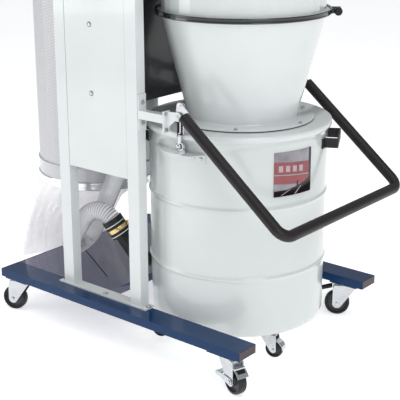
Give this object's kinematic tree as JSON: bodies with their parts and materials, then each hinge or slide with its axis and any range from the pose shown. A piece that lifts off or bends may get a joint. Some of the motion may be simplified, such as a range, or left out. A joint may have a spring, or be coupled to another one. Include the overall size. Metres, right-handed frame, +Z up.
{
  "type": "dust collector",
  "caption": "Portable cyclone dust collector: lift-off drum under a cone, canister filter over a clear bag, and a fan on top of a wheeled base.",
  "frame": {"origin": "on the floor under the middle of the machine's bounding box", "axes": "+Z up, +X from the filter towards the drum, -Y towards the front panel and the cyclone's inlet"},
  "size_m": [1.1199, 0.674, 1.655],
  "materials": {
    "white_paint": "white-grey gloss powder coat on sheet steel",
    "blue_paint": "navy blue gloss powder coat on sheet steel",
    "dark_grey_paint": "dark grey gloss paint on sheet steel",
    "black_powder_coat": "black satin powder coat",
    "motor_housing": "finned aluminium motor housing with dark grey paint",
    "black_plastic": "black satin plastic",
    "window_frame": "black frame round a clear window with a red band",
    "zinc_plate": "zinc-plated pressed steel",
    "perforated_steel": "grey perforated steel sheet with a plain collar",
    "wheel_rubber": "black wheel with a moulded hub",
    "filter_paper": "pleated off-white filter paper",
    "clear_film": "translucent soft film, wrinkled",
    "clear_hose": "clear ribbed hose with a wire helix",
    "cast_aluminium": "as-cast aluminium",
    "red_plastic": "red moulded plastic"
  },
  "bodies": {
    "machine": {"base_beam_front": "blue_paint", "base_beam_rear": "blue_paint", "base_deck": "blue_paint", "upright_frame_front": "white_paint", "upright_frame_rear": "white_paint", "front_panel": "white_paint", "rear_panel": "white_paint", "divider_panel": "dark_grey_paint", "top_plate": "white_paint", "cyclone_barrel": "white_paint", "vortex_tube": "white_paint", "clamp_band": "black_powder_coat", "cyclone_cone": "white_paint", "drum_lid": "white_paint", "fan_housing": "white_paint", "motor": "motor_housing", "outlet_duct": "white_paint", "canister_head": "white_paint", "filter_canister": "perforated_steel", "filter_media": "filter_paper", "bag_clamp": "zinc_plate", "dust_bag": "clear_film", "hold_down_hose": "clear_hose", "pivot_bracket_front": "white_paint", "pivot_bracket_rear": "white_paint", "switch_box": "black_plastic"},
    "handle": {"lift_handle": "black_powder_coat", "bell_crank_front": "zinc_plate", "bell_crank_rear": "zinc_plate"},
    "link_front": {"lift_link_front": "zinc_plate"},
    "link_rear": {"lift_link_rear": "zinc_plate"},
    "drum": {"drum": "white_paint", "level_window": "window_frame", "drum_handle_right": "black_plastic", "drum_handle_left": "black_plastic", "drum_port": "black_plastic", "hose_cuff": "black_plastic"},
    "impeller": {"impeller": "cast_aluminium"},
    "cleaner": {"cleaning_shaft": "zinc_plate", "cleaning_crank": "black_plastic"},
    "knob": {"clamp_knob": "black_plastic"},
    "paddle": {"switch_paddle": "red_plastic"},
    "pedal": {"brake_pedal_rear_right": "black_plastic"},
    "lever": {"brake_lever_front_right": "zinc_plate"},
    "caster_front_left": {"caster_fork_front_left": "zinc_plate"},
    "wheel_front_left": {"caster_wheel_front_left": "wheel_rubber"},
    "caster_front_right": {"caster_fork_front_right": "zinc_plate"},
    "wheel_front_right": {"caster_wheel_front_right": "wheel_rubber"},
    "caster_rear_left": {"caster_fork_rear_left": "zinc_plate"},
    "wheel_rear_left": {"caster_wheel_rear_left": "wheel_rubber"},
    "caster_rear_right": {"caster_fork_rear_right": "zinc_plate"},
    "wheel_rear_right": {"caster_wheel_rear_right": "wheel_rubber"},
    "drum_caster_front_left": {"drum_caster_fork_front_left": "zinc_plate"},
    "drum_wheel_front_left": {"drum_caster_wheel_front_left": "wheel_rubber"},
    "drum_caster_front_right": {"drum_caster_fork_front_right": "zinc_plate"},
    "drum_wheel_front_right": {"drum_caster_wheel_front_right": "wheel_rubber"},
    "drum_caster_rear_left": {"drum_caster_fork_rear_left": "zinc_plate"},
    "drum_wheel_rear_left": {"drum_caster_wheel_rear_left": "wheel_rubber"},
    "drum_caster_rear_right": {"drum_caster_fork_rear_right": "zinc_plate"},
    "drum_wheel_rear_right": {"drum_caster_wheel_rear_right": "wheel_rubber"}
  },
  "joints": [
    {"name": "handle_lift", "type": "hinge", "parent": "machine", "child": "handle", "pos_m": [0.204, 0, 0.7], "axis": [0, -1, 0], "range_deg": [0, 80]},
    {"name": "drum_lower", "type": "slide", "parent": "machine", "child": "drum", "axis": [0, 0, 1], "range_m": [-0.015, 0]},
    {"name": "link_front_swing", "type": "hinge", "parent": "handle", "child": "link_front", "pos_m": [0.206, -0.272, 0.727], "axis": [0, -1, 0], "range_deg": [-67, 0]},
    {"name": "link_rear_swing", "type": "hinge", "parent": "handle", "child": "link_rear", "pos_m": [0.206, 0.272, 0.727], "axis": [0, -1, 0], "range_deg": [-67, 0]},
    {"name": "caster_swivel_front_left", "type": "hinge", "parent": "machine", "child": "caster_front_left", "pos_m": [-0.409, -0.301, 0.1], "axis": [0, 0, 1], "continuous": true},
    {"name": "wheel_roll_front_left", "type": "hinge", "parent": "caster_front_left", "child": "wheel_front_left", "pos_m": [-0.44001, -0.31229, 0.038], "axis": [0.342, -0.9397, 0], "continuous": true},
    {"name": "caster_swivel_front_right", "type": "hinge", "parent": "machine", "child": "caster_front_right", "pos_m": [0.389, -0.301, 0.1], "axis": [0, 0, 1], "continuous": true},
    {"name": "wheel_roll_front_right", "type": "hinge", "parent": "caster_front_right", "child": "wheel_front_right", "pos_m": [0.42039, -0.3112, 0.038], "axis": [0.309, 0.9511, 0], "continuous": true},
    {"name": "caster_swivel_rear_left", "type": "hinge", "parent": "machine", "child": "caster_rear_left", "pos_m": [-0.409, 0.301, 0.1], "axis": [0, 0, 1], "continuous": true},
    {"name": "wheel_roll_rear_left", "type": "hinge", "parent": "caster_rear_left", "child": "wheel_rear_left", "pos_m": [-0.4415, 0.30673, 0.038], "axis": [-0.1736, -0.9848, 0], "continuous": true},
    {"name": "caster_swivel_rear_right", "type": "hinge", "parent": "machine", "child": "caster_rear_right", "pos_m": [0.383, 0.301, 0.1], "axis": [0, 0, 1], "continuous": true},
    {"name": "wheel_roll_rear_right", "type": "hinge", "parent": "caster_rear_right", "child": "wheel_rear_right", "pos_m": [0.35501, 0.28351, 0.038], "axis": [0.5299, -0.848, 0], "continuous": true},
    {"name": "drum_caster_swivel_front_left", "type": "hinge", "parent": "drum", "child": "drum_caster_front_left", "pos_m": [0.086, -0.18807, 0.085], "axis": [0, 0, 1], "continuous": true},
    {"name": "drum_wheel_roll_front_left", "type": "hinge", "parent": "drum_caster_front_left", "child": "drum_wheel_front_left", "pos_m": [0.06391, -0.19745, 0.04], "axis": [0.3907, -0.9205, 0], "continuous": true},
    {"name": "drum_caster_swivel_front_right", "type": "hinge", "parent": "drum", "child": "drum_caster_front_right", "pos_m": [0.37139, -0.10489, 0.085], "axis": [0, 0, 1], "continuous": true},
    {"name": "drum_wheel_roll_front_right", "type": "hinge", "parent": "drum_caster_front_right", "child": "drum_wheel_front_right", "pos_m": [0.39486, -0.0999, 0.04], "axis": [-0.2079, 0.9781, 0], "continuous": true},
    {"name": "drum_caster_swivel_rear_left", "type": "hinge", "parent": "drum", "child": "drum_caster_rear_left", "pos_m": [-0.00207, 0.1, 0.085], "axis": [0, 0, 1], "continuous": true},
    {"name": "drum_wheel_roll_rear_left", "type": "hinge", "parent": "drum_caster_rear_left", "child": "drum_wheel_rear_left", "pos_m": [-0.02607, 0.1, 0.04], "axis": [0, -1, 0], "continuous": true},
    {"name": "drum_caster_swivel_rear_right", "type": "hinge", "parent": "drum", "child": "drum_caster_rear_right", "pos_m": [0.286, 0.18807, 0.085], "axis": [0, 0, 1], "continuous": true},
    {"name": "drum_wheel_roll_rear_right", "type": "hinge", "parent": "drum_caster_rear_right", "child": "drum_wheel_rear_right", "pos_m": [0.30855, 0.19628, 0.04], "axis": [-0.342, 0.9397, 0], "continuous": true},
    {"name": "impeller_spin", "type": "hinge", "parent": "machine", "child": "impeller", "pos_m": [0.2, 0, 1.32], "axis": [0, 0, 1], "continuous": true},
    {"name": "filter_cleaner_spin", "type": "hinge", "parent": "machine", "child": "cleaner", "pos_m": [-0.366, 0, 1.4], "axis": [0, 0, 1], "continuous": true},
    {"name": "clamp_knob_turn", "type": "hinge", "parent": "machine", "child": "knob", "pos_m": [0.41989, 0.12948, 0.9475], "axis": [0.5878, -0.809, 0], "continuous": true},
    {"name": "switch_press", "type": "hinge", "parent": "machine", "child": "paddle", "pos_m": [-0.082, -0.3265, 1.085], "axis": [1, 0, 0], "range_deg": [-5, 5], "stiffness_Nm_per_rad": 0.2},
    {"name": "pedal_press", "type": "hinge", "parent": "caster_rear_right", "child": "pedal", "pos_m": [0.3406, 0.2745, 0.091], "axis": [0.5299, -0.848, 0], "range_deg": [0, 8], "stiffness_Nm_per_rad": 0.5},
    {"name": "lever_press", "type": "hinge", "parent": "caster_front_right", "child": "lever", "pos_m": [0.42039, -0.3112, 0.038], "axis": [-0.309, -0.9511, 0], "range_deg": [0, 15], "stiffness_Nm_per_rad": 0.5}
  ],
  "couplings": [
    {"joint": "drum_lower", "follows": "handle_lift", "m_per_rad": -0.0107},
    {"joint": "link_front_swing", "follows": "handle_lift", "ratio": -0.8175},
    {"joint": "link_rear_swing", "follows": "handle_lift", "ratio": -0.8175}
  ]
}
